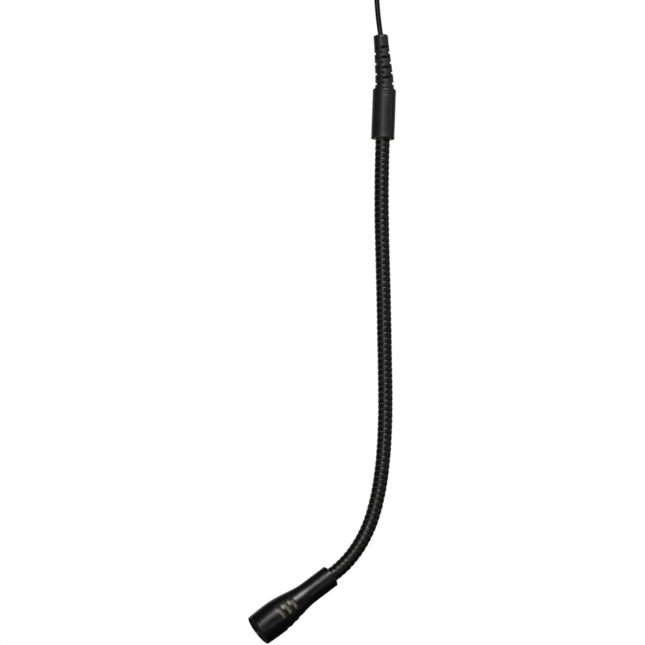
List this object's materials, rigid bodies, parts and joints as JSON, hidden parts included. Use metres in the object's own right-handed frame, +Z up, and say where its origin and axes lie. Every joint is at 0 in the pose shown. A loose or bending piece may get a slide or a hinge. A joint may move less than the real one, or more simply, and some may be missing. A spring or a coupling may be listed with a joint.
{
  "type": "gooseneck microphone",
  "caption": "Slim condenser microphone on a bendable ribbed gooseneck, with a collar, a slotted strain relief and a cord that hangs it from a ceiling plate.",
  "frame": {"origin": "centre of the ceiling plate's top face, where the microphone is held", "axes": "+Z up, along the cord and the gooseneck; the gooseneck bends towards -X in the XZ plane; +Y across it, the microphone's mirror direction"},
  "size_m": [0.079, 0.04, 0.326],
  "materials": {
    "plate_enamel": "satin off-white ceiling enamel",
    "grip_nylon": "fine moulded nylon",
    "zinc_steel": "zinc plated",
    "cord_jacket": "smooth black jacket",
    "boot_rubber": "matt moulded rubber",
    "collar_black": "matt charcoal",
    "lead_grey": "matt sleeve",
    "brass": "turned brass",
    "head_black": "satin black coat on turned aluminium",
    "neck_steel": "semi-gloss blackened spring",
    "dark_screen": "blackened woven screen",
    "olive_screen": "olive-bronze woven screen",
    "black_cloth": "acoustic cloth",
    "bright_aluminium": "bright turned can",
    "gold_film": "gold-coated film",
    "board_green": "solder-masked laminate",
    "tantalum_yellow": "moulded capacitor case"
  },
  "bodies": {
    "base": {"ceiling_plate": "plate_enamel", "cord_grip": "grip_nylon", "grip_nut": "zinc_steel", "cord": "cord_jacket", "cord_tail": "cord_jacket", "strain_relief_boot": "boot_rubber", "collar_sleeve": "collar_black", "cord_crimp": "zinc_steel", "lead_splice": "lead_grey", "neck_ferrule_rear": "brass", "neck_coil_00": "neck_steel", "neck_lead_00": "lead_grey"},
    "link_01": {"neck_coil_01": "neck_steel", "neck_lead_01": "lead_grey"},
    "link_02": {"neck_coil_02": "neck_steel", "neck_lead_02": "lead_grey"},
    "link_03": {"neck_coil_03": "neck_steel", "neck_lead_03": "lead_grey"},
    "link_04": {"neck_coil_04": "neck_steel", "neck_lead_04": "lead_grey"},
    "link_05": {"neck_coil_05": "neck_steel", "neck_lead_05": "lead_grey"},
    "link_06": {"neck_coil_06": "neck_steel", "neck_lead_06": "lead_grey"},
    "link_07": {"neck_coil_07": "neck_steel", "neck_lead_07": "lead_grey"},
    "link_08": {"neck_coil_08": "neck_steel", "neck_lead_08": "lead_grey"},
    "link_09": {"neck_coil_09": "neck_steel", "neck_lead_09": "lead_grey"},
    "link_10": {"neck_coil_10": "neck_steel", "neck_lead_10": "lead_grey"},
    "link_11": {"neck_coil_11": "neck_steel", "neck_lead_11": "lead_grey"},
    "head": {"neck_coil_12": "neck_steel", "neck_lead_12": "lead_grey", "capsule_backplate": "brass", "capsule_board": "board_green", "capsule_can": "bright_aluminium", "capsule_diaphragm": "gold_film", "capsule_gasket": "boot_rubber", "capsule_retainer": "brass", "capsule_spacer": "grip_nylon", "front_grille": "dark_screen", "front_ring": "head_black", "grille_cloth": "black_cloth", "head_shell": "head_black", "output_capacitor": "tantalum_yellow", "preamp_board": "board_green", "preamp_transistor": "grip_nylon", "slot_screen": "olive_screen", "neck_ferrule_front": "brass"}
  },
  "joints": [
    {"name": "neck_sway_01", "type": "hinge", "parent": "base", "child": "link_01", "pos_m": [0.00247, 0, -0.11698], "axis": [0.9998, 0, -0.0175], "range_deg": [-30, 30]},
    {"name": "neck_bend_02", "type": "hinge", "parent": "link_01", "child": "link_02", "pos_m": [0.0024, 0, -0.13222], "axis": [0, 1, 0], "range_deg": [-30, 30]},
    {"name": "neck_sway_03", "type": "hinge", "parent": "link_02", "child": "link_03", "pos_m": [0.00267, 0, -0.14746], "axis": [0.9997, 0, 0.0262], "range_deg": [-30, 30]},
    {"name": "neck_bend_04", "type": "hinge", "parent": "link_03", "child": "link_04", "pos_m": [0.00307, 0, -0.16269], "axis": [0, 1, 0], "range_deg": [-30, 30]},
    {"name": "neck_sway_05", "type": "hinge", "parent": "link_04", "child": "link_05", "pos_m": [0.0034, 0, -0.17793], "axis": [0.9998, 0, 0.0175], "range_deg": [-30, 30]},
    {"name": "neck_bend_06", "type": "hinge", "parent": "link_05", "child": "link_06", "pos_m": [0.00366, 0, -0.19317], "axis": [0, 1, 0], "range_deg": [-30, 30]},
    {"name": "neck_sway_07", "type": "hinge", "parent": "link_06", "child": "link_07", "pos_m": [0.00393, 0, -0.2084], "axis": [0.9998, 0, 0.0175], "range_deg": [-30, 30]},
    {"name": "neck_bend_08", "type": "hinge", "parent": "link_07", "child": "link_08", "pos_m": [0.00393, 0, -0.22364], "axis": [0, 1, 0], "range_deg": [-30, 30]},
    {"name": "neck_sway_09", "type": "hinge", "parent": "link_08", "child": "link_09", "pos_m": [0.00327, 0, -0.23887], "axis": [0.9976, 0, -0.0698], "range_deg": [-30, 30]},
    {"name": "neck_bend_10", "type": "hinge", "parent": "link_09", "child": "link_10", "pos_m": [0.00154, 0, -0.254], "axis": [0, 1, 0], "range_deg": [-30, 20]},
    {"name": "neck_sway_11", "type": "hinge", "parent": "link_10", "child": "link_11", "pos_m": [-0.00195, 0, -0.26882], "axis": [0.9537, 0, -0.3007], "range_deg": [-30, 30]},
    {"name": "neck_bend_12", "type": "hinge", "parent": "link_11", "child": "head", "pos_m": [-0.00843, 0, -0.28257], "axis": [0, 1, 0], "range_deg": [-30, 8]}
  ]
}
